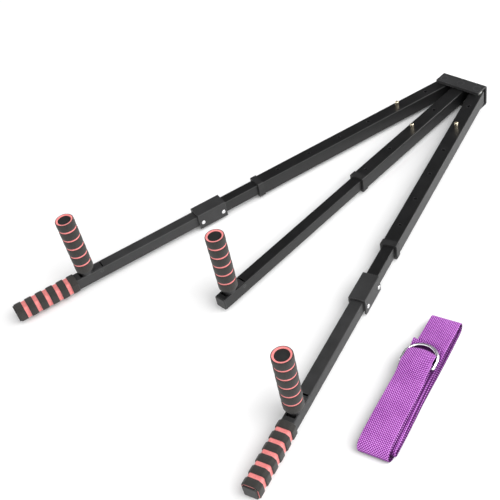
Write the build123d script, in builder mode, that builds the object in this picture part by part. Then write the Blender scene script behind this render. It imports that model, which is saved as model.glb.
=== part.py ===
from build123d import *
import os

os.makedirs("parts", exist_ok=True)

# Three-bar leg stretcher. Every bar is drawn along -Y from its own pivot at the origin, and is
# then turned and moved to its pivot in the bracket. The floor is z = 0, and +Z is up.

# Bracket: a short steel channel, open at the front and at both ends, with a lip under its front edge.
BRACKET_L = 91
BRACKET_D = 28
BRACKET_H = 40
PLATE = 3
BEND_R = 4
BRACKET_LIP_H = 2.5
BRACKET_LIP = 2

# Pivots: three upright pins side by side, a little in front of the middle of the channel.
PIVOT_GAP = 35.2
PIVOT_Y = -2.5
SPREAD = 15
PIN_R = 4
HEAD_R = 6.5
WASHER_R = 9
RUN = 0.05
GAP = 0.1

# Square tubes: the inner one slides in the outer one. All share one height.
AXIS_Z = 20
OUTER = 25
OUTER_WALL = 1.5
INNER = 20
INNER_WALL = 1.2
CORNER = 1.5

# Length adjustment: a spring button in the inner tube and a row of holes in the outer tube.
PITCH = 66
BUTTON_R = 3.25
BUTTON_TOP = 44
BUTTON_FLANGE_R = 5
TAIL = 30

# Collar over the mouth of the outer tube.
COLLAR = 28
COLLAR_L = 11
LIP = 3

# Side bars: distances along the bar from the pivot.
SIDE_HOLE = 46
SIDE_HOLES = 6
SIDE_OUTER_END = 422.5
SLEEVE_START = 492.5
SLEEVE_L = 54
SLEEVE = 27.4
SLEEVE_WALL = 3
SLEEVE_TOP = 34.8
SLEEVE_BEND_R = 1.5
SLEEVE_BOTTOM = 5.7
RIVET_INSET = 7
RIVET_Z = 17.5
RIVET_R = 2.5
FOOT_END = 879.5
HANDLE_START = 774.5
HANDLE = 26.8
HANDLE_CORNER = 5
HANDLE_PLUG = 21
PLUG_T = 2.5
SIDE_POST = 752.4

# Centre bar.
MID_HOLE = 83.7
MID_HOLES = 4
MID_OUTER_END = 305.2
MID_END = 643
MID_POST = 620.2

# Folding posts: a lever in a slot in the bar carries the post, and its pin is set inboard.
FOLD_OFFSET = 22.5
FOLD_Z = 24.5
FOLD_PIN_R = 2.5
LEVER_W = 14
LEVER_TOP = 29.8
LEVER_END_R = 5.3
SLOT_W = 15
POST_R = 10
POST_WALL = 1.5
GRIP_R = 15.1
GRIP_BOTTOM = 40
GRIP_TOP = 144.8
TUBE_TOP = 142

# Strap: a folded length of webbing with two D-rings, lying beside the right bar.
STRAP_W = 44
STRAP_L = 250
STRAP_H = 20
STRAP_AT = (323, -593.6)
STRAP_TURN = 13.4
RING_WIRE_R = 1.7
RING_W = 50
RING_X = -5
RING_STRAIGHT = 12

inner_top = AXIS_Z + INNER / 2
outer_top = AXIS_Z + OUTER / 2
inner_floor = AXIS_Z - INNER / 2 + INNER_WALL
button_side = SIDE_HOLE + PITCH
button_mid = MID_HOLE + PITCH
rivet_a = SLEEVE_START + RIVET_INSET
rivet_b = SLEEVE_START + SLEEVE_L - RIVET_INSET
round_end = inner_top - RIVET_Z


def square_tube(size, wall, start, end):
    """Square tube with rounded corners, centred on the bar's axis."""
    with BuildPart() as tube:
        with BuildSketch(Plane.XZ.offset(start)):
            with Locations((0, AXIS_Z)):
                RectangleRounded(size, size, CORNER)
                RectangleRounded(size - 2 * wall, size - 2 * wall, CORNER - wall / 2, mode=Mode.SUBTRACT)
        extrude(amount=end - start)
    return tube.part


def upright_hole(radius, at, low, high):
    """Round cutter standing at a distance along the bar."""
    with BuildPart() as cutter:
        with BuildSketch(Plane.XY.offset(low)):
            with Locations((0, -at)):
                Circle(radius)
        extrude(amount=high - low)
    return cutter.part


def cross_hole(radius, at, height, width):
    """Round cutter, or pin, lying across the bar."""
    with BuildPart() as cutter:
        with BuildSketch(Plane.YZ):
            with Locations((-at, height)):
                Circle(radius)
        extrude(amount=width / 2, both=True)
    return cutter.part


def outer_tube(end, first_hole, holes):
    """Outer tube with its rear end rounded about the pivot and its row of button holes."""
    with BuildPart() as tube:
        add(square_tube(OUTER, OUTER_WALL, -OUTER / 2, end))
        with BuildSketch(Plane.XY):
            Circle(OUTER / 2)
            with Locations((0, -end / 2)):
                Rectangle(OUTER, end)
        extrude(amount=BRACKET_H, mode=Mode.INTERSECT)
        add(upright_hole(PIN_R + RUN, 0, 0, BRACKET_H), mode=Mode.SUBTRACT)
        for i in range(holes):
            add(upright_hole(BUTTON_R + RUN, first_hole + i * PITCH, AXIS_Z, BRACKET_H), mode=Mode.SUBTRACT)
    return tube.part


def collar(tube_end):
    """Plastic collar that guides the inner tube out of the outer tube's mouth."""
    with BuildPart() as ring:
        with BuildSketch(Plane.XZ.offset(tube_end + LIP - COLLAR_L)):
            with Locations((0, AXIS_Z)):
                RectangleRounded(COLLAR, COLLAR, 2.5)
                RectangleRounded(OUTER, OUTER, CORNER, mode=Mode.SUBTRACT)
        extrude(amount=COLLAR_L - LIP)
        with BuildSketch(Plane.XZ.offset(tube_end)):
            with Locations((0, AXIS_Z)):
                RectangleRounded(COLLAR, COLLAR, 2.5)
                RectangleRounded(INNER + 2 * GAP, INNER + 2 * GAP, CORNER, mode=Mode.SUBTRACT)
        extrude(amount=LIP)
    return ring.part


def post_slot(post):
    """Cutter for the slot in a bar's top wall that the post's lever swings through."""
    inboard = post - FOLD_OFFSET - LEVER_END_R - 0.4
    outboard = post + 14
    with BuildPart() as slot:
        with BuildSketch(Plane.XY.offset(inner_top - INNER_WALL - 0.5)):
            with Locations((0, -(inboard + outboard) / 2)):
                Rectangle(SLOT_W, outboard - inboard)
        extrude(amount=INNER_WALL + 1)
    return slot.part


def rounded_end_tube(rivet, start, end):
    """Inner-size tube whose end at the rivet is a half round about the rivet."""
    low = AXIS_Z - INNER / 2
    far = end if abs(start - rivet) < abs(end - rivet) else start
    with BuildPart() as tube:
        add(square_tube(INNER, INNER_WALL, start, end))
        with BuildSketch(Plane.YZ):
            with Locations((-rivet, RIVET_Z)):
                Circle(round_end)
            with Locations((-(rivet + far) / 2, low + INNER / 2)):
                Rectangle(abs(far - rivet), INNER)
        extrude(amount=INNER, both=True, mode=Mode.INTERSECT)
        add(cross_hole(RIVET_R + RUN, rivet, RIVET_Z, OUTER), mode=Mode.SUBTRACT)
    return tube.part


def glide(end):
    """Nylon plug in the hidden end of the inner tube, filling the outer tube's bore."""
    bore = OUTER - 2 * OUTER_WALL - 2 * GAP
    with BuildPart() as plug:
        with BuildSketch(Plane.XZ.offset(end - 3)):
            with Locations((0, AXIS_Z)):
                RectangleRounded(bore, bore, 1)
        extrude(amount=3)
        with BuildSketch(Plane.XZ.offset(end)):
            with Locations((0, AXIS_Z)):
                RectangleRounded(INNER - 2 * INNER_WALL, INNER - 2 * INNER_WALL, 1)
        extrude(amount=9)
    return plug.part


def button(at):
    """Domed brass button with the flange that keeps it in the inner tube."""
    flange_top = inner_top - INNER_WALL - GAP
    with BuildPart() as head:
        with BuildSketch(Plane.XY.offset(flange_top - 1.5)):
            with Locations((0, -at)):
                Circle(BUTTON_FLANGE_R)
        extrude(amount=1.5)
        with BuildSketch(Plane.XY.offset(flange_top)):
            with Locations((0, -at)):
                Circle(BUTTON_R)
        extrude(amount=BUTTON_TOP - flange_top)
        fillet(head.edges().sort_by(Axis.Z)[-1], radius=BUTTON_R * 0.6)
    return head.part


def leaf_spring(at):
    """V of spring steel strip under the button, standing on the inner tube's floor."""
    top = inner_top - INNER_WALL - GAP - 1.5
    thick = 0.7
    with BuildPart() as spring:
        with BuildSketch(Plane.YZ):
            with BuildLine():
                Polyline(
                    (-at + 6, top),
                    (-at - 6, top),
                    (-at - 36, inner_floor + 1.2),
                    (-at - 36, inner_floor),
                    (-at + 6, inner_floor),
                    (-at + 6, inner_floor + thick),
                    (-at - 35, inner_floor + thick),
                    (-at - 5.5, top - thick),
                    (-at + 6, top - thick),
                    close=True,
                )
            make_face()
        extrude(amount=4, both=True)
    return spring.part


def fold_sleeve():
    """Downward-open channel that joins the inner tube to the foot tube."""
    middle = SLEEVE_START + SLEEVE_L / 2
    height = SLEEVE_TOP - SLEEVE_BOTTOM
    with BuildPart() as sleeve:
        with Locations((0, -middle, (SLEEVE_TOP + SLEEVE_BOTTOM) / 2)):
            Box(SLEEVE, SLEEVE_L, height)
        fillet(sleeve.edges().filter_by(Axis.Y).group_by(Axis.Z)[-1], radius=SLEEVE_BEND_R)
        with Locations((0, -middle, SLEEVE_BOTTOM + (height - SLEEVE_WALL) / 2)):
            Box(SLEEVE - 2 * SLEEVE_WALL, SLEEVE_L, height - SLEEVE_WALL, mode=Mode.SUBTRACT)
        for rivet in (rivet_a, rivet_b):
            add(cross_hole(RIVET_R, rivet, RIVET_Z, OUTER * 2), mode=Mode.SUBTRACT)
    return sleeve.part


def rivet_pin(at):
    """Rivet across the sleeve with a domed head on each side."""
    with BuildPart() as rivet:
        with BuildSketch(Plane.YZ.offset(-SLEEVE / 2)):
            with Locations((-at, RIVET_Z)):
                Circle(RIVET_R)
        extrude(amount=SLEEVE)
        with BuildSketch(Plane.YZ.offset(SLEEVE / 2)):
            with Locations((-at, RIVET_Z)):
                Circle(RIVET_R + 1)
        extrude(amount=1.6)
        with BuildSketch(Plane.YZ.offset(-SLEEVE / 2)):
            with Locations((-at, RIVET_Z)):
                Circle(RIVET_R + 1)
        extrude(amount=-1.6)
        fillet(rivet.edges().sort_by(Axis.X)[-1], radius=1)
        fillet(rivet.edges().sort_by(Axis.X)[0], radius=1)
    return rivet.part


def post_lever(post):
    """Lever in the bar's slot: hollow underneath, turned on the fold pin, with a spigot for the post."""
    pivot = post - FOLD_OFFSET
    heel = post + 8
    with BuildPart() as lever:
        with BuildSketch(Plane.YZ):
            with Locations((-pivot, FOLD_Z)):
                Circle(LEVER_END_R)
            with BuildLine():
                Polyline(
                    (-pivot, LEVER_TOP),
                    (-post + 8, LEVER_TOP),
                    (-post + 8, inner_top + 0.4),
                    (-heel, inner_top + 0.4),
                    (-heel, inner_floor + 0.8),
                    (-post + 14, inner_floor + 0.8),
                    (-pivot, FOLD_Z - LEVER_END_R),
                    close=True,
                )
            make_face()
        extrude(amount=LEVER_W / 2, both=True)
        with BuildSketch(Plane.XY.offset(inner_top + 0.4)):
            with Locations((0, -post)):
                Circle(POST_R - POST_WALL)
        extrude(amount=12)
        with Locations((0, -post + 1, inner_floor + 5)):
            Box(LEVER_W - 5, 12, 9, mode=Mode.SUBTRACT)
        add(cross_hole(FOLD_PIN_R + RUN, pivot, FOLD_Z, OUTER), mode=Mode.SUBTRACT)
    return lever.part


def post_tube(post):
    """Steel tube of the post, standing on the lever's spigot."""
    with BuildPart() as tube:
        with BuildSketch(Plane.XY.offset(inner_top + 0.4)):
            with Locations((0, -post)):
                Circle(POST_R)
                Circle(POST_R - POST_WALL, mode=Mode.SUBTRACT)
        extrude(amount=TUBE_TOP - inner_top - 0.4)
    return tube.part


def post_plug(post):
    """Plug closing the top of the post's tube."""
    with BuildPart() as plug:
        with BuildSketch(Plane.XY.offset(TUBE_TOP)):
            with Locations((0, -post)):
                Circle(POST_R)
        extrude(amount=1.2)
        with BuildSketch(Plane.XY.offset(TUBE_TOP)):
            with Locations((0, -post)):
                Circle(POST_R - POST_WALL)
        extrude(amount=-10)
    return plug.part


def post_grip(post):
    """Round foam grip on the post."""
    with BuildPart() as grip:
        with BuildSketch(Plane.XY.offset(GRIP_BOTTOM)):
            with Locations((0, -post)):
                Circle(GRIP_R)
                Circle(POST_R, mode=Mode.SUBTRACT)
        extrude(amount=GRIP_TOP - GRIP_BOTTOM)
    return grip.part


def handle_grip():
    """Square foam grip on the end of the foot tube."""
    with BuildPart() as grip:
        with BuildSketch(Plane.XZ.offset(HANDLE_START)):
            with Locations((0, AXIS_Z)):
                RectangleRounded(HANDLE, HANDLE, HANDLE_CORNER)
                RectangleRounded(INNER, INNER, CORNER, mode=Mode.SUBTRACT)
        extrude(amount=FOOT_END - HANDLE_START)
    return grip.part


def end_plug(end, flange, depth):
    """Plastic plug with a flange over the open end of a tube."""
    with BuildPart() as plug:
        with BuildSketch(Plane.XZ.offset(end)):
            with Locations((0, AXIS_Z)):
                RectangleRounded(flange, flange, 2.5)
        extrude(amount=PLUG_T)
        fillet(plug.faces().sort_by(Axis.Y)[0].edges(), radius=1)
        with BuildSketch(Plane.XZ.offset(end)):
            with Locations((0, AXIS_Z)):
                RectangleRounded(INNER - 2 * INNER_WALL, INNER - 2 * INNER_WALL, 1)
        extrude(amount=-depth)
    return plug.part


def washer(low, high):
    """Nylon washer on a pivot pin."""
    with BuildPart() as ring:
        with BuildSketch(Plane.XY.offset(low)):
            Circle(WASHER_R)
            Circle(PIN_R, mode=Mode.SUBTRACT)
        extrude(amount=high - low)
    return ring.part


def pivot_pin():
    """Pivot pin from a blind socket in the lower plate to a head sunk flush in the upper plate."""
    with BuildPart() as pin:
        with BuildSketch(Plane.XY.offset(PLATE / 2)):
            Circle(PIN_R)
        extrude(amount=BRACKET_H - PLATE / 2)
        with BuildSketch(Plane.XY.offset(BRACKET_H - PLATE / 2)):
            Circle(HEAD_R)
        extrude(amount=PLATE / 2)
    return pin.part


def place(piece, label, spot):
    """Put a piece, drawn at the origin, where it belongs and write it."""
    with BuildPart() as placed:
        with Locations(spot):
            add(piece)
    placed.part.label = label
    export_step(placed.part, f"parts/{label}.step")


# The bracket: a folded channel with a sunk seat and a blind socket for each pivot pin.
with BuildPart() as apex_bracket:
    with BuildSketch(Plane.YZ.offset(-BRACKET_L / 2)):
        with Locations((0, BRACKET_H / 2)):
            Rectangle(BRACKET_D, BRACKET_H)
    extrude(amount=BRACKET_L)
    fillet(apex_bracket.edges().filter_by(Axis.X).group_by(Axis.Y)[-1], radius=BEND_R)
    with Locations((0, -PLATE, BRACKET_H / 2)):
        Box(BRACKET_L, BRACKET_D, BRACKET_H - 2 * PLATE, mode=Mode.SUBTRACT)
    with Locations((0, (BRACKET_LIP - BRACKET_D) / 2, BRACKET_H - PLATE - BRACKET_LIP_H / 2)):
        Box(BRACKET_L, BRACKET_LIP, BRACKET_LIP_H)
    for low, radius in ((PLATE / 2, PIN_R), (BRACKET_H - PLATE / 2, HEAD_R)):
        with BuildSketch(Plane.XY.offset(low)):
            with Locations((0, PIVOT_Y)):
                with GridLocations(PIVOT_GAP, 1, 3, 1):
                    Circle(radius)
        extrude(amount=BRACKET_H - low, mode=Mode.SUBTRACT)
apex_bracket.part.label = "apex_bracket"
export_step(apex_bracket.part, "parts/apex_bracket.step")

# What every bar has.
bars = {
    "left": (Location((-PIVOT_GAP, PIVOT_Y, 0), (0, 0, -SPREAD)), SIDE_POST),
    "centre": (Location((0, PIVOT_Y, 0)), MID_POST),
    "right": (Location((PIVOT_GAP, PIVOT_Y, 0), (0, 0, SPREAD)), SIDE_POST),
}
for name, (spot, post) in bars.items():
    place(pivot_pin(), f"{name}_pivot_pin", spot)
    place(washer(PLATE, AXIS_Z - OUTER / 2 - GAP), f"{name}_washer_low", spot)
    place(washer(outer_top + GAP, BRACKET_H - PLATE), f"{name}_washer_high", spot)
    place(cross_hole(FOLD_PIN_R, post - FOLD_OFFSET, FOLD_Z, INNER), f"{name}_post_pin", spot)
    place(post_lever(post), f"{name}_post_lever", spot)
    place(post_tube(post), f"{name}_post_tube", spot)
    place(post_grip(post), f"{name}_post_grip", spot)
    place(post_plug(post), f"{name}_post_plug", spot)

# The side bars: telescoping tubes, folding sleeve, foot tube and square handle.
for name in ("left", "right"):
    spot, post = bars[name]
    place(outer_tube(SIDE_OUTER_END, SIDE_HOLE, SIDE_HOLES), f"{name}_outer_tube", spot)
    place(collar(SIDE_OUTER_END), f"{name}_collar", spot)
    tail = button_side - TAIL
    with BuildPart() as side_inner:
        add(rounded_end_tube(rivet_a, tail, rivet_a + round_end))
        add(upright_hole(BUTTON_R + RUN, button_side, AXIS_Z, BRACKET_H), mode=Mode.SUBTRACT)
    place(side_inner.part, f"{name}_inner_tube", spot)
    place(glide(tail), f"{name}_glide", spot)
    place(button(button_side), f"{name}_button", spot)
    place(leaf_spring(button_side), f"{name}_spring", spot)
    place(fold_sleeve(), f"{name}_fold_sleeve", spot)
    place(rivet_pin(rivet_a), f"{name}_rivet_inner", spot)
    place(rivet_pin(rivet_b), f"{name}_rivet_outer", spot)
    with BuildPart() as foot_tube:
        add(rounded_end_tube(rivet_b, rivet_b - round_end, FOOT_END))
        add(post_slot(post), mode=Mode.SUBTRACT)
        add(cross_hole(FOLD_PIN_R, post - FOLD_OFFSET, FOLD_Z, OUTER), mode=Mode.SUBTRACT)
    place(foot_tube.part, f"{name}_foot_tube", spot)
    place(handle_grip(), f"{name}_handle_grip", spot)
    place(end_plug(FOOT_END, HANDLE_PLUG, 12), f"{name}_handle_plug", spot)

# The centre bar: telescoping tubes only, with its post near the tip.
spot, post = bars["centre"]
place(outer_tube(MID_OUTER_END, MID_HOLE, MID_HOLES), "centre_outer_tube", spot)
place(collar(MID_OUTER_END), "centre_collar", spot)
mid_tail = button_mid - TAIL
with BuildPart() as mid_inner:
    add(square_tube(INNER, INNER_WALL, mid_tail, MID_END - PLUG_T))
    add(upright_hole(BUTTON_R + RUN, button_mid, AXIS_Z, BRACKET_H), mode=Mode.SUBTRACT)
    add(post_slot(post), mode=Mode.SUBTRACT)
    add(cross_hole(FOLD_PIN_R, post - FOLD_OFFSET, FOLD_Z, OUTER), mode=Mode.SUBTRACT)
place(mid_inner.part, "centre_inner_tube", spot)
place(glide(mid_tail), "centre_glide", spot)
place(button(button_mid), "centre_button", spot)
place(leaf_spring(button_mid), "centre_spring", spot)
place(end_plug(MID_END - PLUG_T, INNER, 5), "centre_tip_plug", spot)


def d_ring(bar_y, z):
    """D-ring of round wire lying flat: a straight bar across and a half round behind it."""
    half = RING_W / 2 - RING_WIRE_R
    shoulder = bar_y + RING_STRAIGHT
    left, right = RING_X - half, RING_X + half
    with BuildPart() as ring:
        with BuildLine(Plane.XY.offset(z)):
            Line((right, bar_y), (right, shoulder))
            ThreePointArc((right, shoulder), (RING_X, shoulder + half), (left, shoulder))
            Line((left, shoulder), (left, bar_y))
            Line((left, bar_y), (right, bar_y))
        with BuildSketch(Plane((right, bar_y + RING_STRAIGHT / 2, z), z_dir=(0, 1, 0))):
            Circle(RING_WIRE_R)
        sweep(transition=Transition.RIGHT)
    return ring.part


# The strap: the folded bundle, and its two rings lying on top of it.
strap_spot = Location((*STRAP_AT, 0), (0, 0, STRAP_TURN))
with BuildPart() as strap:
    with BuildSketch(Plane.YZ):
        with Locations((0, STRAP_H / 2)):
            SlotOverall(STRAP_L, STRAP_H)
    extrude(amount=STRAP_W / 2, both=True)
place(strap.part, "strap_webbing", strap_spot)
low_z = STRAP_H + RING_WIRE_R + 0.3
high_z = low_z + 2 * RING_WIRE_R + 0.2
place(d_ring(27, low_z), "strap_ring_low", strap_spot)
place(d_ring(23, high_z), "strap_ring_high", strap_spot)
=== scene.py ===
import math

import bmesh
import bpy
from mathutils import Matrix, Vector

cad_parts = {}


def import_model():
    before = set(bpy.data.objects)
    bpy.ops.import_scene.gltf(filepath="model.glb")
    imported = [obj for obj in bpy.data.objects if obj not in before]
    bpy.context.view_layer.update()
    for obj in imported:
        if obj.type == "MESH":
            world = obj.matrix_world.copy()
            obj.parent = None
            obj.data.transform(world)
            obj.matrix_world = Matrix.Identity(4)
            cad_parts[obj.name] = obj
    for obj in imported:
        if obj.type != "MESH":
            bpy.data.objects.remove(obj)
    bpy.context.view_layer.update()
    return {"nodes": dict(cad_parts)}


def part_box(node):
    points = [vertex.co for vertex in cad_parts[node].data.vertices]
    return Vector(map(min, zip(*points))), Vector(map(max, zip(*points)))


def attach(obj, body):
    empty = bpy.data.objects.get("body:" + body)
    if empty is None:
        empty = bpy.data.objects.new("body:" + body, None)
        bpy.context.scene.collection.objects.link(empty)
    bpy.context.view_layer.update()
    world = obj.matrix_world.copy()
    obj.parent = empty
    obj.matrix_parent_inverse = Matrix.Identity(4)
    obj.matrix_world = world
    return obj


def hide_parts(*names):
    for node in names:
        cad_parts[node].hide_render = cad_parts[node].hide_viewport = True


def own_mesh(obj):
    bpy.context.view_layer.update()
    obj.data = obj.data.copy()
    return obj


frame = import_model()
nodes = frame["nodes"]

MM = 0.001
TURN = {"left": -15, "centre": 0, "right": 15}
SIDES = ("left", "right")

# Camera: seen from the lower right, high up, with a slight roll. Metres and degrees.
CAMERA_AT = (0.7827, -1.1531, 0.9704)
CAMERA_YAW = -52.531
CAMERA_PITCH = 43.676
CAMERA_ROLL = -13.319
CAMERA_LENS = 62.28
CAMERA_SHIFT = (-0.0203, 0.0275)

# Direction of the dark flag in the white surround, and how near to it the surround darkens.
FLAG = (-0.55, 0.52, 0.66)
FLAG_EDGE = (0.66, 0.93)

# Lights: both aim at the middle of the bars. Place and size in metres, power in watts.
LIGHT_AIM = (0, -0.45, 0)
KEY_AT, KEY_SIZE, KEY_POWER = (1.9, -0.5, 2.3), (1.8, 1.8), 48
RIM_AT, RIM_SIZE, RIM_POWER = (2.0, 2.6, 1.2), (2.4, 0.8), 75
SURROUND = 1.12

# Places of the two foams in a grip's list of materials.
BLACK, RED = 0, 1

# Foam on the posts, in millimetres. The red rings are sunk between black bands with rounded
# edges, and RING_HIGHEST is above the floor. The core is the red face on top.
RING_PITCH = 18
RING_COUNT = 5
RING_HIGHEST = 129
RING_WIDTH = 2.8
RING_DEPTH = 0.9
CORE_OUTER = 13.2
CORE_INNER = 10.6
BAND_BULGE = 0.22
# A band's rounded edge: how far it is sunk, and how far in from the band's end.
POST_EDGE = ((0.75, 0), (0.42, 0.25), (0.22, 0.8))
POINTS_ROUND = 72

# Foam on the handles, in millimetres: black bands with wide red grooves between them.
BANDS = 6
BAND_WIDTH = 11.8
GROOVE_DEPTH = 2.4
GROOVE_CHAMFER = 2.3
HANDLE_CHAMFER = 5.2
HANDLE_SOFTEN = 1.6
HANDLE_EDGE = ((0.75, 0), (0.28, 0.3), (0.06, 1))
# The square bore: half its width, its corners' chamfer, and how far they are softened.
HANDLE_BORE = (10.05, 0.9, 0.3)

# Leaf spring, in millimetres: half its strip's thickness, in the middle and at the edges, and
# how far the middle of the strip keeps from the floor and the roof of its space.
LEAF_HALF = 0.34
LEAF_EDGE = 0.2
LEAF_CLEAR = 0.35

# Strap, in millimetres and degrees. STAGGER is how far its layers wander sideways.
WEB_WIDTH = 44
STAGGER = 1.3
WEB_THICK = 1.5
WEB_PITCH = 3.6
STRAP_TURN = 13.4
# The next three: width of the paler band along each edge, width of the painted shade on the thin
# sides, and how far the painted shade between folded layers reaches.
PALE_EDGE_WIDTH = 0.9
SHADED_SIDE_WIDTH = 0.3
SHADE_REACH = 14

# The strap's two ends, by distance along it in millimetres: where the top layer's sideways shift
# fades out, where the sewn end's shift comes in (counted from that end), where the rings pinch
# the cut end and let it go, and where it then lies slack.
TOP_FADES = (165, 250)
SEWN_COMES = (330, 200)
PINCH_STARTS = (4, 20)
PINCH_STOPS = (50, 95)
SLACK_STARTS = (70, 130)

# The bundle's layers, in the order in which the strap runs through them: where each one ends, and
# its height at the bundle's lower and at its upper end, in millimetres.
LAYERS_FROM = -54
LAYERS = (
    (-113, 19.1, 19.1),
    (115, 0.9, 0.9),
    (-108, 15.2, 17.9),
    (104, 5.6, 5.3),
    (-101, 10.6, 13.9),
    (110, 13.0, 15.9),
    (-111, 3.1, 3.1),
    (6, 17.2, 19.45),
)

# Upper half of the webbing's cross-section: shares of its half width and half thickness.
WEB_SECTION = (
    (-1, 0.35), (-0.985, 0.8), (-0.95, 1), (-0.7, 1), (-0.35, 1), (0, 1),
    (0.35, 1), (0.7, 1), (0.95, 1), (0.985, 0.8), (1, 0.35),
)


# ---------------------------------------------------------------- materials


class Maker:
    """A node material with short calls for the nodes that the finishes share."""

    def __init__(self, name):
        self.material = bpy.data.materials.new(name)
        self.material.use_nodes = True
        self.tree = self.material.node_tree
        self.shader = self.tree.nodes["Principled BSDF"]
        self.coords = self.tree.nodes.new("ShaderNodeTexCoord")

    def put(self, socket, value):
        if isinstance(value, bpy.types.NodeSocket):
            self.tree.links.new(value, socket)
        else:
            socket.default_value = value

    def set(self, **values):
        for name, value in values.items():
            self.put(self.shader.inputs[name.replace("_", " ")], value)

    def math(self, operation, a, b=0.0):
        node = self.tree.nodes.new("ShaderNodeMath")
        node.operation = operation
        self.put(node.inputs[0], a)
        self.put(node.inputs[1], b)
        return node.outputs[0]

    def stretch(self, scale, source="Object"):
        node = self.tree.nodes.new("ShaderNodeMapping")
        node.inputs["Scale"].default_value = scale
        self.put(node.inputs["Vector"], self.coords.outputs[source])
        return node.outputs[0]

    def noise(self, scale, detail=3.0, rough=0.55, vector=None):
        node = self.tree.nodes.new("ShaderNodeTexNoise")
        node.inputs["Scale"].default_value = scale
        node.inputs["Detail"].default_value = detail
        node.inputs["Roughness"].default_value = rough
        self.put(node.inputs["Vector"], vector or self.coords.outputs["Object"])
        return node.outputs["Fac"]

    def cells(self, scale):
        node = self.tree.nodes.new("ShaderNodeTexVoronoi")
        node.inputs["Scale"].default_value = scale
        self.put(node.inputs["Vector"], self.coords.outputs["Object"])
        return node.outputs["Distance"]

    def between(self, value, low, high):
        """value, from 0 to 1, carried to the range low to high."""
        node = self.tree.nodes.new("ShaderNodeMapRange")
        self.put(node.inputs["Value"], value)
        node.inputs["To Min"].default_value = low
        node.inputs["To Max"].default_value = high
        return node.outputs[0]

    def ramp(self, value, *stops):
        node = self.tree.nodes.new("ShaderNodeValToRGB")
        self.put(node.inputs["Fac"], value)
        ramp = node.color_ramp
        while len(ramp.elements) < len(stops):
            ramp.elements.new(0.5)
        for element, (place, colour) in zip(ramp.elements, stops):
            element.position = place
            element.color = (*colour, 1)
        return node.outputs["Color"]

    def bump(self, height, distance, strength=1.0, under=None):
        node = self.tree.nodes.new("ShaderNodeBump")
        node.inputs["Strength"].default_value = strength
        node.inputs["Distance"].default_value = distance
        self.put(node.inputs["Height"], height)
        if under is not None:
            self.put(node.inputs["Normal"], under)
        return node.outputs[0]

    def openness(self, reach):
        """1 on open faces, falling towards 0 deep between folded layers."""
        node = self.tree.nodes.new("ShaderNodeAmbientOcclusion")
        node.samples = 8
        node.inputs["Distance"].default_value = reach
        return node.outputs["AO"]

    def edge_mask(self, radius):
        """1 on a sharp or tightly rounded edge, 0 on a flat face."""
        bevel = self.tree.nodes.new("ShaderNodeBevel")
        bevel.samples = 4
        bevel.inputs["Radius"].default_value = radius
        flat = self.tree.nodes.new("ShaderNodeNewGeometry")
        dot = self.tree.nodes.new("ShaderNodeVectorMath")
        dot.operation = "DOT_PRODUCT"
        self.put(dot.inputs[0], bevel.outputs[0])
        self.put(dot.inputs[1], flat.outputs["Normal"])
        lost = self.math("SUBTRACT", 1.0, dot.outputs["Value"])
        node = self.tree.nodes.new("ShaderNodeMapRange")
        self.put(node.inputs["Value"], lost)
        node.inputs["From Min"].default_value = 0.02
        node.inputs["From Max"].default_value = 0.22
        return node.outputs[0]


def powder_coat(name, dark, light, gloss):
    """Satin black powder coat: fine orange peel, soft scuffs, and edges painted lighter, partly as
    rubbed wear and partly as a painted highlight along the ridges.
    """
    m = Maker(name)
    patches = m.noise(38, 4)
    scuffs = m.noise(1, 6, 0.7, m.stretch((900, 60, 900)))
    tone = m.math("ADD", m.math("MULTIPLY", patches, 0.6), m.math("MULTIPLY", scuffs, 0.4))
    # Edges painted lighter: partly rubbed wear, partly a painted highlight along the tubes' ridges.
    wear_and_ridge_highlight = m.math("MULTIPLY", m.edge_mask(0.9 * MM), m.between(m.noise(260, 3), 0.25, 1.0))
    base = m.ramp(tone, (0.3, (dark,) * 3), (0.75, (light, light, light * 1.04)))
    mix = m.tree.nodes.new("ShaderNodeMix")
    mix.data_type = "RGBA"
    m.put(mix.inputs["Factor"], m.math("MULTIPLY", wear_and_ridge_highlight, 0.55))
    m.put(mix.inputs["A"], base)
    mix.inputs["B"].default_value = (0.26, 0.26, 0.27, 1)
    rough = m.math("ADD", m.between(patches, gloss, gloss + 0.12), m.math("MULTIPLY", scuffs, 0.06))
    peel = m.bump(m.noise(620, 2), 0.05 * MM, 0.6)
    grain = m.bump(m.noise(2600, 2), 0.03 * MM, 0.5, peel)
    m.set(Base_Color=mix.outputs["Result"], Roughness=rough, Normal=grain)
    m.shader.inputs["Specular IOR Level"].default_value = 0.5
    return m.material


def moulded_plastic():
    """Matt black moulded plastic with a spark-eroded grain."""
    m = Maker("moulded_black")
    grain = m.noise(1500, 3, 0.6)
    m.set(
        Base_Color=m.ramp(m.noise(60, 4), (0.3, (0.008,) * 3), (0.8, (0.016,) * 3)),
        Roughness=m.between(grain, 0.42, 0.6),
        Normal=m.bump(grain, 0.05 * MM, 0.7),
    )
    return m.material


def nylon():
    m = Maker("natural_nylon")
    m.set(
        Base_Color=m.ramp(m.noise(90, 3), (0.3, (0.55, 0.53, 0.47)), (0.8, (0.68, 0.67, 0.62))),
        Roughness=m.between(m.noise(500, 2), 0.35, 0.5),
        Normal=m.bump(m.noise(900, 2), 0.03 * MM, 0.5),
    )
    m.shader.inputs["Subsurface Weight"].default_value = 0.1
    return m.material


def turned_metal(name, dark, light, rough_low, rough_high, lines):
    """Bare metal with fine turning or drawing lines round the piece."""
    m = Maker(name)
    rings = m.noise(1, 2, 0.5, m.stretch((60, 60, lines)))
    spots = m.noise(420, 4)
    m.set(
        Base_Color=m.ramp(spots, (0.3, dark), (0.7, light)),
        Roughness=m.between(rings, rough_low, rough_high),
        Normal=m.bump(rings, 0.04 * MM, 0.5),
    )
    m.shader.inputs["Metallic"].default_value = 1.0
    return m.material


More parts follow.
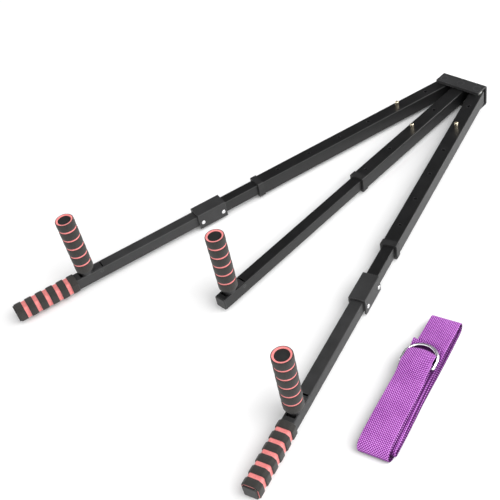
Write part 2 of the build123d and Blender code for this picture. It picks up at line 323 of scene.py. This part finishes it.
def foam(name, dark, light, rough):
    """Closed-cell foam: small cells, a matt skin and a slight mottle."""
    m = Maker(name)
    cells = m.cells(1300)
    mottle = m.noise(240, 5, 0.65)
    tone = m.math("ADD", m.math("MULTIPLY", mottle, 0.7), m.math("MULTIPLY", cells, 0.5))
    dimples = m.bump(cells, 0.16 * MM, 0.55)
    m.set(
        Base_Color=m.ramp(tone, (0.3, dark), (0.8, light)),
        Roughness=m.between(mottle, rough - 0.08, rough + 0.08),
        Normal=m.bump(mottle, 0.12 * MM, 0.5, dimples),
    )
    m.shader.inputs["Sheen Weight"].default_value = 0.12
    m.shader.inputs["Sheen Roughness"].default_value = 0.6
    m.shader.inputs["Specular IOR Level"].default_value = 0.3
    return m.material


def webbing():
    """Purple cotton webbing: a plain weave of thick yarns, a paler band along each edge, painted
    shade on its thin sides, and more painted shade where its folded layers shut out the light."""
    m = Maker("purple_webbing")
    split = m.tree.nodes.new("ShaderNodeSeparateXYZ")
    m.put(split.inputs[0], m.coords.outputs["UV"])
    across, along = split.outputs["X"], split.outputs["Y"]
    turn = 2 * math.pi / WEB_PITCH
    wobble = m.math("MULTIPLY", m.math("SUBTRACT", m.noise(260, 2), 0.5), 1.5)
    u = m.math("ADD", m.math("MULTIPLY", across, turn), wobble)
    v = m.math("ADD", m.math("MULTIPLY", along, turn), wobble)
    weave = m.math("MULTIPLY", m.math("SINE", u), m.math("SINE", v))
    crowns = m.math("ADD", m.math("MULTIPLY", weave, 0.5), 0.5)
    fibres = m.noise(1, 4, 0.7, m.stretch((5.5, 1.2, 1), "UV"))
    fade = m.noise(26, 3)
    tone = m.math("ADD", m.math("MULTIPLY", crowns, 0.72), m.math("MULTIPLY", fibres, 0.26))
    tone = m.math("ADD", tone, m.math("MULTIPLY", m.math("SUBTRACT", fade, 0.5), 0.2))
    reach = m.math("ABSOLUTE", m.math("SUBTRACT", across, WEB_WIDTH))
    # A paler band along each long edge.
    pale_edge = m.math("GREATER_THAN", reach, WEB_WIDTH / 2 - PALE_EDGE_WIDTH)
    # Painted shade: the strap's thin sides darkened.
    side = m.math("GREATER_THAN", reach, WEB_WIDTH / 2 - SHADED_SIDE_WIDTH)
    tone = m.math("ADD", tone, m.math("MULTIPLY", pale_edge, 0.2))
    tone = m.math("SUBTRACT", tone, m.math("MULTIPLY", side, 0.4))
    # Painted shade: darker deep between the folded layers, where they shut out the light.
    shut = m.math("SUBTRACT", 1.0, m.openness(SHADE_REACH * MM))
    tone = m.math("SUBTRACT", tone, m.math("MULTIPLY", shut, 1.1))
    colour = m.ramp(
        tone,
        (0.18, (0.045, 0.002, 0.06)),
        (0.40, (0.19, 0.022, 0.24)),
        (0.60, (0.42, 0.095, 0.50)),
        (0.84, (0.86, 0.42, 0.95)),
    )
    yarns = m.bump(crowns, 0.45 * MM, 0.9)
    m.set(
        Base_Color=colour,
        Normal=m.bump(fibres, 0.08 * MM, 0.5, yarns),
        Roughness=m.between(fibres, 0.7, 0.9),
    )
    m.shader.inputs["Sheen Weight"].default_value = 0.1
    m.shader.inputs["Sheen Roughness"].default_value = 0.45
    m.shader.inputs["Sheen Tint"].default_value = (0.85, 0.55, 1.0, 1)
    m.shader.inputs["Specular IOR Level"].default_value = 0.25
    return m.material


STEEL_TUBE = powder_coat("black_powder_coat", 0.003, 0.008, 0.33)
STEEL_FOOT = powder_coat("black_powder_coat_foot", 0.016, 0.028, 0.42)
PLASTIC = moulded_plastic()
NYLON = nylon()
BRASS = turned_metal("turned_brass", (0.72, 0.61, 0.42), (0.93, 0.85, 0.68), 0.18, 0.32, 4200)
SPRING = turned_metal("spring_steel", (0.24, 0.25, 0.28), (0.40, 0.41, 0.44), 0.25, 0.4, 900)
RIVET = turned_metal("bright_rivet", (0.72, 0.72, 0.73), (0.93, 0.93, 0.94), 0.2, 0.36, 3000)
CHROME = turned_metal("chrome_wire", (0.82, 0.83, 0.85), (0.95, 0.96, 0.98), 0.08, 0.16, 700)
FOAM_BLACK = foam("black_foam", (0.010, 0.009, 0.008), (0.028, 0.025, 0.022), 0.82)
FOAM_RED = foam("red_foam", (0.66, 0.14, 0.14), (0.86, 0.27, 0.26), 0.8)
WEBBING = webbing()

FINISHES = {
    "outer_tube": STEEL_TUBE,
    "inner_tube": STEEL_TUBE,
    "foot_tube": STEEL_FOOT,
    "fold_sleeve": STEEL_FOOT,
    "bracket": STEEL_FOOT,
    "lever": STEEL_FOOT,
    "post_tube": STEEL_FOOT,
    "collar": PLASTIC,
    "plug": PLASTIC,
    "glide": NYLON,
    "washer_low": NYLON,
    "washer_high": NYLON,
    "button": BRASS,
    "spring": SPRING,
    "pivot_pin": STEEL_FOOT,
    "post_pin": STEEL_FOOT,
    "rivet_inner": RIVET,
    "rivet_outer": RIVET,
    "ring_low": CHROME,
    "ring_high": CHROME,
}
for name, node in nodes.items():
    for ending, finish in FINISHES.items():
        if name.endswith(ending):
            for slot in node.material_slots:
                slot.material = finish


# ---------------------------------------------------------------- shared mesh code


def centre_of(node):
    low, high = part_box(node)
    return (low + high) / 2


def bar_place(bar):
    """From a bar's own frame, drawn along -Y from the pivot, to the shared frame."""
    pivot = centre_of(f"{bar}_pivot_pin")
    turn = Matrix.Rotation(math.radians(TURN[bar]), 4, "Z")
    return Matrix.Translation((pivot.x, pivot.y, 0)) @ turn


def along_bar(bar, node, share):
    """Distance from the pivot along the bar to the node's nearest (0) or furthest (1) corner."""
    inverse = bar_place(bar).inverted()
    reach = [-(inverse @ v.co).y for v in nodes[node].data.vertices]
    return max(reach) if share else min(reach)


def finished(mesh, name, materials):
    """The bmesh as an object in the scene."""
    data = bpy.data.meshes.new(name)
    mesh.to_mesh(data)
    mesh.free()
    piece = bpy.data.objects.new(name, data)
    bpy.context.scene.collection.objects.link(piece)
    for material in materials:
        data.materials.append(material)
    return piece


def normal_at(path, i):
    """Unit normal, in the YZ plane, of a path of (y, z) points."""
    before, after = path[max(0, i - 1)], path[min(len(path) - 1, i + 1)]
    along = Vector((0, after[0] - before[0], after[1] - before[1])).normalized()
    return Vector((0, -along.z, along.y))


def mesh_from_loops(name, loops, materials, face_material, closed=False, capped=False):
    """Skin between loops of equal length. face_material[i] belongs to the strip after loop i."""
    mesh = bmesh.new()
    rows = [[mesh.verts.new(p) for p in loop] for loop in loops]
    strips = list(zip(rows, rows[1:])) + ([(rows[-1], rows[0])] if closed else [])
    for index, (a, b) in enumerate(strips):
        for i in range(len(a)):
            j = (i + 1) % len(a)
            face = mesh.faces.new((a[i], a[j], b[j], b[i]))
            face.material_index = face_material[index]
            face.smooth = True
    if capped:
        mesh.faces.new(rows[0])
        mesh.faces.new(rows[-1])
    bmesh.ops.recalc_face_normals(mesh, faces=mesh.faces)
    return finished(mesh, name, materials)


def smooth_step(value, low, high):
    t = min(1, max(0, (value - low) / (high - low)))
    return t * t * (3 - 2 * t)


def curve_through(points, steps=6):
    """Catmull-Rom curve through the given points."""
    ends = [points[0]] + list(points) + [points[-1]]
    made = []
    for a, b, c, d in zip(ends, ends[1:], ends[2:], ends[3:]):
        for i in range(steps):
            t = i / steps
            made.append(tuple(
                0.5 * (
                    2 * q + (r - p) * t
                    + (2 * p - 5 * q + 4 * r - s) * t**2
                    + (3 * q - p - 3 * r + s) * t**3
                )
                for p, q, r, s in zip(a, b, c, d)
            ))
    return made + [points[-1]]


# ---------------------------------------------------------------- foam on the posts


def post_profile(low, high, radius, bore):
    """(radius, height, material) points up the outside of a post's grip and back down its bore."""
    rings = [RING_HIGHEST - i * RING_PITCH for i in reversed(range(RING_COUNT))]
    edges = [low] + [z + s * RING_WIDTH / 2 for z in rings for s in (-1, 1)] + [high]
    ring_floor = radius - RING_DEPTH
    face = radius - POST_EDGE[-1][0]
    points = [(bore, low, BLACK)]
    for number, (a, b) in enumerate(zip(edges, edges[1:])):
        is_ring = number % 2
        if is_ring:
            points += [(ring_floor, a + 0.1, RED), (ring_floor, b - 0.1, BLACK)]
            continue
        points += [(radius - sink, a + inset, BLACK) for sink, inset in POST_EDGE]
        for share in (0.3, 0.5, 0.7):
            crown = BAND_BULGE * math.sin(math.pi * share)
            points.append((face + crown, a + (b - a) * share, BLACK))
        points += [(radius - sink, b - inset, BLACK) for sink, inset in reversed(POST_EDGE)]
    points[-1] = (radius - 0.95, high - 0.05, BLACK)
    points += [
        (CORE_OUTER + 0.25, high - 0.1, RED),
        (CORE_OUTER - 0.2, high - 0.3, RED),
        ((CORE_OUTER + CORE_INNER) / 2, high - 0.15, RED),
        (CORE_INNER + 0.4, high - 0.35, RED),
        (CORE_INNER, high - 0.9, BLACK),
        (bore, high - 2.2, BLACK),
    ]
    return points


def post_grip(bar):
    tube_low, tube_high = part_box(f"{bar}_post_tube")
    grip_low, grip_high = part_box(f"{bar}_post_grip")
    middle = centre_of(f"{bar}_post_tube")
    bore = (tube_high.x - tube_low.x) / 2 / MM + 0.05
    radius = (grip_high.x - grip_low.x) / 2 / MM
    profile = post_profile(grip_low.z / MM, grip_high.z / MM, radius, bore)
    turns = [2 * math.pi * i / POINTS_ROUND for i in range(POINTS_ROUND)]
    loops = [
        [
            Vector((middle.x + r * MM * math.cos(t), middle.y + r * MM * math.sin(t), z * MM))
            for t in turns
        ]
        for r, z, _ in profile
    ]
    foams = [FOAM_BLACK, FOAM_RED]
    face_material = [material for _, _, material in profile]
    piece = mesh_from_loops(f"{bar}_post_foam", loops, foams, face_material, closed=True)
    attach(piece, f"{bar}_post")
    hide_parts(f"{bar}_post_grip")


# ---------------------------------------------------------------- foam on the handles


def chamfered_square(half, chamfer, soften, steps=3):
    """Points of a square with cut corners, each of its eight corners a small curve."""
    flat = half - chamfer
    corners = []
    for quarter in range(4):
        turn = Matrix.Rotation(quarter * math.pi / 2, 2)
        corners += [turn @ Vector((half, -flat)), turn @ Vector((half, flat))]
    points = []
    for i, corner in enumerate(corners):
        before = (corners[i - 1] - corner).normalized() * soften
        after = (corners[(i + 1) % 8] - corner).normalized() * soften
        for step in range(steps + 1):
            t = step / steps
            points.append(corner + before * (1 - t) ** 2 + after * t**2)
    return points


def handle_sections(start, end, half):
    """(place along the bar, half width, chamfer, softening, material) of each section of a grip."""
    pitch = (end - start - BAND_WIDTH) / (BANDS - 1)
    groove = (half - GROOVE_DEPTH, GROOVE_CHAMFER, 0.8)
    sections = [(start, *HANDLE_BORE, BLACK)]
    for band in range(BANDS):
        a = start + band * pitch
        b = a + BAND_WIDTH
        near = [(a + inset, sink) for sink, inset in HANDLE_EDGE]
        far = [(b - inset, sink) for sink, inset in reversed(HANDLE_EDGE)]
        for s, sink in (*near, ((a + b) / 2, 0), *far):
            sections.append((s, half - sink, HANDLE_CHAMFER, HANDLE_SOFTEN, BLACK))
        if band < BANDS - 1:
            sections += [(b - 0.1, *groove, RED), (b + pitch - BAND_WIDTH + 0.1, *groove, BLACK)]
    sections[-1] = (end, half - 0.9, HANDLE_CHAMFER, HANDLE_SOFTEN, BLACK)
    sections += [
        (end, half - 1.15, HANDLE_CHAMFER - 0.3, 1.5, RED),
        (end - 0.1, half - 2.6, HANDLE_CHAMFER - 2.4, 0.9, RED),
        (end - 0.5, *HANDLE_BORE, BLACK),
    ]
    return sections


def handle_grip(bar):
    start = along_bar(bar, f"{bar}_handle_grip", 0) / MM
    end = along_bar(bar, f"{bar}_handle_grip", 1) / MM
    low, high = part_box(f"{bar}_handle_grip")
    axis_z = (low.z + high.z) / 2 / MM
    half = (high.z - low.z) / 2 / MM
    sections = handle_sections(start, end, half)
    place = bar_place(bar)
    loops = []
    for s, size, chamfer, soften, _ in sections:
        outline = chamfered_square(size, chamfer, soften)
        loops.append([place @ Vector((p.x * MM, -s * MM, (axis_z + p.y) * MM)) for p in outline])
    foams = [FOAM_BLACK, FOAM_RED]
    face_material = [section[-1] for section in sections]
    piece = mesh_from_loops(f"{bar}_handle_foam", loops, foams, face_material, closed=True)
    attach(piece, f"{bar}_foot")
    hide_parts(f"{bar}_handle_grip")


# ---------------------------------------------------------------- leaf springs


def leaf_spring(bar):
    """Bent strip of spring steel under the button. The real one flattens on the tube's floor as the
    button goes in; this mesh keeps one shape."""
    place = bar_place(bar)
    inverse = place.inverted()
    corners = [inverse @ v.co / MM for v in nodes[f"{bar}_spring"].data.vertices]
    near, far = max(c.y for c in corners), min(c.y for c in corners)
    top, floor_z = max(c.z for c in corners), min(c.z for c in corners)
    half = max(c.x for c in corners)
    line = curve_through([
        (near, top - LEAF_CLEAR),
        (near - 5, top - LEAF_CLEAR),
        (near - 10.5, top - 0.5),
        (near - 14, top - 2.2),
        ((near - 11 + far) / 2, (top + floor_z) / 2),
        (far + 3, floor_z + 2.3),
        (far + 0.7, floor_z + 1.3),
        (far + 1.2, floor_z + 0.5),
        (far + 4, floor_z + LEAF_CLEAR),
        (near - 12, floor_z + LEAF_CLEAR),
        (near, floor_z + LEAF_CLEAR),
    ])
    upper = ((1, LEAF_EDGE), (0.96, LEAF_HALF), (-0.96, LEAF_HALF), (-1, LEAF_EDGE))
    section = [(side * half * a, side * b) for side in (1, -1) for a, b in upper]
    loops = []
    for i, (y, z) in enumerate(line):
        normal = normal_at(line, i)
        loops.append([place @ ((Vector((x, y, z)) + normal * lift) * MM) for x, lift in section])
    only_one = [0] * len(loops)
    piece = mesh_from_loops(f"{bar}_leaf_spring", loops, [SPRING], only_one, capped=True)
    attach(piece, f"{bar}_slider")
    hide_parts(f"{bar}_spring")
    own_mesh(piece)


# ---------------------------------------------------------------- strap


def run(start, end, z_low, z_high):
    """A layer from one end of the bundle to the other. z_low is its height at the lower end."""
    steps = max(2, round(abs(end - start) / 4))
    points = []
    for i in range(steps + 1):
        y = start + (end - start) * i / steps
        ripple = 0.10 * math.sin(y * 0.09 + z_low)
        points.append((y, z_low + (z_high - z_low) * smooth_step(y, -70, 30) + ripple))
    return points


def fold(y, z_from, z_to, outward):
    """A half-round turn from one layer to the next, at the bundle's end."""
    steps = 14
    middle, radius = (z_from + z_to) / 2, (z_to - z_from) / 2
    points = []
    for i in range(1, steps):
        angle = math.pi * i / steps
        reach = outward * abs(radius) * math.sin(angle)
        points.append((y + reach, middle - radius * math.cos(angle)))
    return points


def bundle():
    """The layers one after another, each joined to the next by a fold at its end."""
    points = []
    start = LAYERS_FROM
    for layer, following in zip(LAYERS, (*LAYERS[1:], None)):
        end, z_low, z_high = layer
        points += run(start, end, z_low, z_high)
        if following and end < 0:
            points += fold(end, z_low, following[1], -1)
        elif following:
            points += fold(end, z_high, following[2], 1)
        start = end
    return points


def strap_path():
    """(y, z) points of the whole strap in millimetres: its cut end, which goes through the rings,
    the bundle, and its other end, sewn round the rings' straight bars."""
    cut_end = curve_through([
        (66, 19.5), (61, 19.45), (56, 19.6), (52, 21.2), (50.6, 24.6), (47.5, 28.2), (41, 29.9),
        (32, 30.3), (23, 30.2), (12, 27.6), (0, 23.9), (-12, 22.1), (-24, 20.6), (-38, 19.5),
        (-50, 19.1),
    ])
    sewn_end = curve_through([
        (10, 19.35), (23, 19.3), (28.4, 19.9), (30.3, 22.2), (29.2, 25.6), (26.4, 27.9),
        (22, 28.5), (16, 26.6), (7, 22.6), (-4, 20.9), (-14, 20.2),
    ])
    return cut_end + bundle() + sewn_end


def strap_row(y, z, normal, s, total, outline):
    """Points round the webbing's cross-section, s along a strap of the given total length."""
    top = 1 - smooth_step(s, *TOP_FADES)
    end = smooth_step(s, *(total - back for back in SEWN_COMES))
    pinch = smooth_step(s, *PINCH_STARTS) * (1 - smooth_step(s, *PINCH_STOPS))
    slack = smooth_step(s, *SLACK_STARTS) * top
    shift = -5 * max(top, end) - 1.6 * slack - 1.5 * (1 - smooth_step(s, 0, 20))
    shift += STAGGER * math.sin(s * 0.019) * (1 - max(top, end))
    skew = 0.2 * (1 - smooth_step(s, 0, 16))
    half = WEB_WIDTH / 2 * (1 - 0.05 * pinch)
    points = []
    for c, t in outline:
        x = shift + c * half
        droop = -1.6 * pinch * c * c
        y_in = y - 3.4 * pinch * c * c - skew * c * half
        points.append(Vector((x, y_in, z + droop)) + normal * (t * WEB_THICK / 2))
    return points


def strap():
    path = strap_path()
    centre = centre_of("strap_webbing")
    turn = Matrix.Rotation(math.radians(STRAP_TURN), 4, "Z")
    place = Matrix.Translation((centre.x, centre.y, 0)) @ turn
    lengths = [0.0]
    for (y0, z0), (y1, z1) in zip(path, path[1:]):
        lengths.append(lengths[-1] + math.hypot(y1 - y0, z1 - z0))
    total = lengths[-1]
    outline = [*WEB_SECTION, *((c, -t) for c, t in reversed(WEB_SECTION))]
    mesh = bmesh.new()
    uv = mesh.loops.layers.uv.new("weave")
    rows = []
    for i, (y, z) in enumerate(path):
        points = strap_row(y, z, normal_at(path, i), lengths[i], total, outline)
        rows.append([mesh.verts.new(place @ (point * MM)) for point in points])
    count = len(outline)
    for i, (a, b) in enumerate(zip(rows, rows[1:])):
        for j in range(count):
            k = (j + 1) % count
            face = mesh.faces.new((a[j], a[k], b[k], b[j]))
            face.smooth = True
            spots = ((j, i), (k, i), (k, i + 1), (j, i + 1))
            for corner, (column, row) in zip(face.loops, spots):
                corner[uv].uv = ((outline[column][0] / 2 + 1) * WEB_WIDTH, lengths[row])
    mesh.faces.new(rows[0])
    mesh.faces.new(rows[-1][::-1])
    bmesh.ops.recalc_face_normals(mesh, faces=mesh.faces)
    piece = finished(mesh, "strap_web", [WEBBING])
    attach(piece, "strap")
    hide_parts("strap_webbing")


# ---------------------------------------------------------------- stage


def floor():
    mesh = bmesh.new()
    bmesh.ops.create_grid(mesh, x_segments=8, y_segments=8, size=9)
    m = Maker("studio_white")
    m.set(
        Base_Color=m.ramp(m.noise(2, 3), (0.3, (0.90, 0.90, 0.90)), (0.8, (0.93, 0.93, 0.93))),
        Roughness=m.between(m.noise(30, 3), 0.8, 0.95),
    )
    m.shader.inputs["Specular IOR Level"].default_value = 0.1
    ground = finished(mesh, "studio_floor", [m.material])


def area_light(name, at, aim, size, watts):
    data = bpy.data.lights.new(name, "AREA")
    data.shape = "RECTANGLE"
    data.size, data.size_y = size
    data.energy = watts
    light = bpy.data.objects.new(name, data)
    light.location = at
    light.rotation_mode = "QUATERNION"
    light.rotation_quaternion = (Vector(aim) - Vector(at)).to_track_quat("-Z", "Y")
    bpy.context.scene.collection.objects.link(light)


def world():
    """Soft white surround with one big dark flag, high behind the bars, which the level faces
    mirror."""
    made = bpy.data.worlds.new("studio")
    made.use_nodes = True
    tree = made.node_tree
    coords = tree.nodes.new("ShaderNodeTexCoord")
    toward = tree.nodes.new("ShaderNodeVectorMath")
    toward.operation = "DOT_PRODUCT"
    toward.inputs[1].default_value = Vector(FLAG).normalized()
    ramp = tree.nodes.new("ShaderNodeValToRGB")
    ramp.color_ramp.interpolation = "EASE"
    ramp.color_ramp.elements[0].position = FLAG_EDGE[0]
    ramp.color_ramp.elements[0].color = (SURROUND, SURROUND, SURROUND, 1)
    ramp.color_ramp.elements[1].position = FLAG_EDGE[1]
    ramp.color_ramp.elements[1].color = (0.05, 0.05, 0.055, 1)
    tree.links.new(coords.outputs["Generated"], toward.inputs[0])
    tree.links.new(toward.outputs["Value"], ramp.inputs["Fac"])
    tree.links.new(ramp.outputs["Color"], tree.nodes["Background"].inputs["Color"])
    bpy.context.scene.world = made


def camera():
    yaw, pitch, roll = (math.radians(a) for a in (CAMERA_YAW, CAMERA_PITCH, CAMERA_ROLL))
    flat = math.cos(pitch)
    forward = Vector((math.sin(yaw) * flat, math.cos(yaw) * flat, -math.sin(pitch)))
    level = Vector((math.cos(yaw), -math.sin(yaw), 0))
    upright = level.cross(forward)
    right = level * math.cos(roll) + upright * math.sin(roll)
    up = upright * math.cos(roll) - level * math.sin(roll)
    data = bpy.data.cameras.new("photo_view")
    data.lens = CAMERA_LENS
    data.sensor_width = 36
    data.shift_x, data.shift_y = CAMERA_SHIFT
    data.clip_start = 0.05
    data.clip_end = 60
    view = bpy.data.objects.new("photo_view", data)
    turn = Matrix((right, up, -forward)).transposed().to_4x4()
    view.matrix_world = Matrix.Translation(CAMERA_AT) @ turn
    bpy.context.scene.collection.objects.link(view)
    bpy.context.scene.camera = view


for bar in TURN:
    post_grip(bar)
    leaf_spring(bar)
for side in SIDES:
    handle_grip(side)
strap()

floor()
world()
area_light("key", KEY_AT, LIGHT_AIM, KEY_SIZE, KEY_POWER)
area_light("rim", RIM_AT, LIGHT_AIM, RIM_SIZE, RIM_POWER)
camera()
bpy.context.scene.view_settings.view_transform = "Standard"
